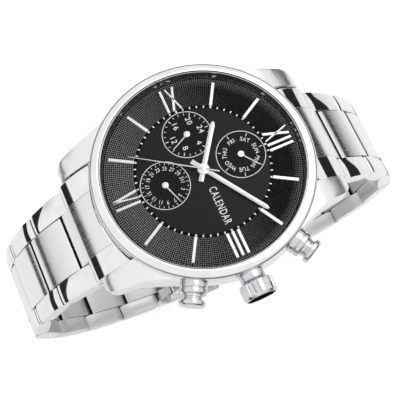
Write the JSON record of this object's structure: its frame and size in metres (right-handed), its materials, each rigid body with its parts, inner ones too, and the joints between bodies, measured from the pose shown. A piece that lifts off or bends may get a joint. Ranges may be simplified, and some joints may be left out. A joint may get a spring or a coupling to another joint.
{
  "type": "wristwatch",
  "caption": "Round steel wristwatch with a black dial, applied hour marks, subdials for day, date and 24-hour time, crown, pushers, and a tapering three-row bracelet with a folding clasp.",
  "frame": {"origin": "centre of the case back's flat outer face, on the axis of the hands", "axes": "+X towards 3 o'clock and the crown, +Y towards 12 o'clock, +Z out of the dial"},
  "size_m": [0.0476, 0.0884, 0.0702],
  "materials": {
    "polished_steel": "mirror polished stainless steel",
    "bracelet_steel": "polished outer pieces and a brushed centre piece",
    "brushed_steel": "brushed stainless steel",
    "satin_silver": "satin silver plating",
    "crystal_glass": "clear flat mineral glass",
    "seal_rubber": "soft grey seal",
    "black_dial": "black lacquer over a stamped pattern",
    "black_enamel": "gloss black inlay",
    "plated_brass": "grained brass",
    "white_plastic": "moulded white plastic",
    "board_green": "green circuit board",
    "copper_wire": "enamelled copper wire",
    "cell_steel": "plain steel can",
    "tool_steel": "turned tool steel",
    "wheel_brass": "gilt brass"
  },
  "bodies": {
    "head": {"mid_case": "polished_steel", "bezel": "polished_steel", "crystal": "crystal_glass", "case_gaskets": "seal_rubber", "flange_ring": "polished_steel", "dial_plate": "black_dial", "hour_marks": "satin_silver", "case_back": "brushed_steel", "movement_holder": "white_plastic", "main_plate": "plated_brass", "train_bridge": "plated_brass", "bridge_screws": "tool_steel", "battery": "cell_steel", "motor_coil": "copper_wire", "circuit_board": "board_green", "crown_tube": "polished_steel", "pusher_tubes": "polished_steel", "end_links": "bracelet_steel", "spring_bars": "polished_steel"},
    "seconds": {"seconds_wheel": "wheel_brass", "seconds_hand": "satin_silver"},
    "fifth": {"fifth_wheel": "wheel_brass"},
    "rotor": {"rotor": "tool_steel"},
    "third": {"third_wheel": "wheel_brass"},
    "minutes": {"centre_wheel": "wheel_brass", "minute_hand": "satin_silver"},
    "minute_wheel": {"minute_wheel": "wheel_brass"},
    "hours": {"hour_wheel": "wheel_brass", "hour_hand": "satin_silver"},
    "twenty_four_hours": {"twenty_four_hour_wheel": "wheel_brass", "twenty_four_hour_hand": "satin_silver"},
    "day": {"day_star": "wheel_brass", "day_hand": "satin_silver"},
    "date": {"date_star": "wheel_brass", "date_hand": "satin_silver"},
    "stem_slide": {"setting_yoke": "tool_steel"},
    "crown": {"crown": "polished_steel", "crown_cap": "black_enamel", "winding_stem": "tool_steel"},
    "pusher_2": {"pusher_2": "polished_steel"},
    "pusher_4": {"pusher_4": "polished_steel"},
    "link_12_1": {"link_12_1": "bracelet_steel"},
    "link_12_2": {"link_12_2": "bracelet_steel"},
    "link_12_3": {"link_12_3": "bracelet_steel"},
    "link_12_4": {"link_12_4": "bracelet_steel"},
    "link_12_5": {"link_12_5": "bracelet_steel"},
    "link_12_6": {"link_12_6": "bracelet_steel"},
    "link_12_7": {"link_12_7": "bracelet_steel"},
    "link_6_1": {"link_6_1": "bracelet_steel"},
    "link_6_2": {"link_6_2": "bracelet_steel"},
    "link_6_3": {"link_6_3": "bracelet_steel"},
    "link_6_4": {"link_6_4": "bracelet_steel"},
    "link_6_5": {"link_6_5": "bracelet_steel"},
    "link_6_6": {"link_6_6": "bracelet_steel"},
    "link_6_7": {"link_6_7": "bracelet_steel"},
    "clasp_cover": {"clasp_cover": "polished_steel"},
    "clasp_long_blade": {"clasp_long_blade": "brushed_steel"},
    "clasp_inner_blade": {"clasp_inner_blade": "brushed_steel"},
    "clasp_button_3": {"clasp_button_3": "polished_steel"},
    "clasp_button_9": {"clasp_button_9": "polished_steel"}
  },
  "joints": [
    {"name": "seconds_turn", "type": "hinge", "parent": "head", "child": "seconds", "pos_m": [0, 0, 0.0075], "axis": [0, 0, -1], "continuous": true},
    {"name": "third_turn", "type": "hinge", "parent": "head", "child": "third", "pos_m": [0.0017, 0.00294, 0.004], "axis": [0, 0, -1], "continuous": true},
    {"name": "minutes_turn", "type": "hinge", "parent": "head", "child": "minutes", "pos_m": [0, 0, 0.0075], "axis": [0, 0, -1], "continuous": true},
    {"name": "fifth_turn", "type": "hinge", "parent": "head", "child": "fifth", "pos_m": [-0.00284, 0.0005, 0.004], "axis": [0, 0, -1], "continuous": true},
    {"name": "rotor_turn", "type": "hinge", "parent": "head", "child": "rotor", "pos_m": [-0.00526, 0.0019, 0.004], "axis": [0, 0, -1], "continuous": true},
    {"name": "minute_wheel_turn", "type": "hinge", "parent": "head", "child": "minute_wheel", "pos_m": [0.00323, 0, 0.0065], "axis": [0, 0, -1], "continuous": true},
    {"name": "hours_turn", "type": "hinge", "parent": "head", "child": "hours", "pos_m": [0, 0, 0.0075], "axis": [0, 0, -1], "continuous": true},
    {"name": "twenty_four_hours_turn", "type": "hinge", "parent": "head", "child": "twenty_four_hours", "pos_m": [-0.00775, 0, 0.007], "axis": [0, 0, -1], "continuous": true},
    {"name": "day_turn", "type": "hinge", "parent": "head", "child": "day", "pos_m": [0, 0.00775, 0.007], "axis": [0, 0, -1], "continuous": true},
    {"name": "date_turn", "type": "hinge", "parent": "head", "child": "date", "pos_m": [0, -0.00775, 0.007], "axis": [0, 0, -1], "continuous": true},
    {"name": "crown_pull", "type": "slide", "parent": "head", "child": "stem_slide", "axis": [1, 0, 0], "range_m": [0, 0.0016]},
    {"name": "crown_turn", "type": "hinge", "parent": "stem_slide", "child": "crown", "pos_m": [0.02, 0, 0.006], "axis": [1, 0, 0], "continuous": true},
    {"name": "pusher_2_press", "type": "slide", "parent": "head", "child": "pusher_2", "axis": [-0.8788, -0.4772, 0], "range_m": [0, 0.001], "stiffness_N_per_m": 120},
    {"name": "pusher_4_press", "type": "slide", "parent": "head", "child": "pusher_4", "axis": [-0.8788, 0.4772, 0], "range_m": [0, 0.001], "stiffness_N_per_m": 120},
    {"name": "hinge_12_1", "type": "hinge", "parent": "head", "child": "link_12_1", "pos_m": [0, 0.0265, -0.0033], "axis": [1, 0, 0], "range_deg": [0, 41.5]},
    {"name": "hinge_12_2", "type": "hinge", "parent": "link_12_1", "child": "link_12_2", "pos_m": [0, 0.03444, -0.01032], "axis": [1, 0, 0], "range_deg": [0, 16]},
    {"name": "hinge_12_3", "type": "hinge", "parent": "link_12_2", "child": "link_12_3", "pos_m": [0, 0.04013, -0.01926], "axis": [1, 0, 0], "range_deg": [0, 18.5]},
    {"name": "hinge_12_4", "type": "hinge", "parent": "link_12_3", "child": "link_12_4", "pos_m": [0, 0.0427, -0.02955], "axis": [1, 0, 0], "range_deg": [0, 30]},
    {"name": "hinge_12_5", "type": "hinge", "parent": "link_12_4", "child": "link_12_5", "pos_m": [0, 0.03978, -0.03974], "axis": [1, 0, 0], "range_deg": [0, 22]},
    {"name": "hinge_12_6", "type": "hinge", "parent": "link_12_5", "child": "link_12_6", "pos_m": [0, 0.03325, -0.04809], "axis": [1, 0, 0], "range_deg": [0, 19]},
    {"name": "hinge_12_7", "type": "hinge", "parent": "link_12_6", "child": "link_12_7", "pos_m": [0, 0.02436, -0.05386], "axis": [1, 0, 0], "range_deg": [0, 14]},
    {"name": "hinge_6_1", "type": "hinge", "parent": "head", "child": "link_6_1", "pos_m": [0, -0.0265, -0.0033], "axis": [1, 0, 0], "range_deg": [-41.5, 0]},
    {"name": "hinge_6_2", "type": "hinge", "parent": "link_6_1", "child": "link_6_2", "pos_m": [0, -0.03444, -0.01032], "axis": [1, 0, 0], "range_deg": [-16, 0]},
    {"name": "hinge_6_3", "type": "hinge", "parent": "link_6_2", "child": "link_6_3", "pos_m": [0, -0.04013, -0.01926], "axis": [1, 0, 0], "range_deg": [-18.5, 0]},
    {"name": "hinge_6_4", "type": "hinge", "parent": "link_6_3", "child": "link_6_4", "pos_m": [0, -0.0427, -0.02955], "axis": [1, 0, 0], "range_deg": [-30, 0]},
    {"name": "hinge_6_5", "type": "hinge", "parent": "link_6_4", "child": "link_6_5", "pos_m": [0, -0.03978, -0.03974], "axis": [1, 0, 0], "range_deg": [-22, 0]},
    {"name": "hinge_6_6", "type": "hinge", "parent": "link_6_5", "child": "link_6_6", "pos_m": [0, -0.03325, -0.04809], "axis": [1, 0, 0], "range_deg": [-19, 0]},
    {"name": "hinge_6_7", "type": "hinge", "parent": "link_6_6", "child": "link_6_7", "pos_m": [0, -0.02436, -0.05386], "axis": [1, 0, 0], "range_deg": [-14, 0]},
    {"name": "hinge_12_8", "type": "hinge", "parent": "link_12_7", "child": "clasp_cover", "pos_m": [0, 0.01434, -0.05732], "axis": [1, 0, 0], "range_deg": [0, 19]},
    {"name": "clasp_fold", "type": "hinge", "parent": "clasp_cover", "child": "clasp_long_blade", "pos_m": [0, -0.0106, -0.05608], "axis": [1, 0, 0], "range_deg": [0, 80]},
    {"name": "clasp_blade_turn", "type": "hinge", "parent": "clasp_long_blade", "child": "clasp_inner_blade", "pos_m": [0, 0.0102, -0.05524], "axis": [1, 0, 0], "range_deg": [-80, 0]},
    {"name": "clasp_button_3_press", "type": "slide", "parent": "clasp_cover", "child": "clasp_button_3", "axis": [-1, 0, 0], "range_m": [0, 0.0008], "stiffness_N_per_m": 120},
    {"name": "clasp_button_9_press", "type": "slide", "parent": "clasp_cover", "child": "clasp_button_9", "axis": [1, 0, 0], "range_m": [0, 0.0008], "stiffness_N_per_m": 120}
  ],
  "couplings": [
    {"joint": "third_turn", "follows": "seconds_turn", "ratio": -0.13333},
    {"joint": "minutes_turn", "follows": "seconds_turn", "ratio": 0.016667},
    {"joint": "fifth_turn", "follows": "seconds_turn", "ratio": -5},
    {"joint": "rotor_turn", "follows": "seconds_turn", "ratio": 30},
    {"joint": "minute_wheel_turn", "follows": "seconds_turn", "ratio": -0.0055556},
    {"joint": "hours_turn", "follows": "seconds_turn", "ratio": 0.0013889},
    {"joint": "twenty_four_hours_turn", "follows": "seconds_turn", "ratio": -0.00069444},
    {"joint": "clasp_blade_turn", "follows": "clasp_fold", "ratio": -1}
  ]
}
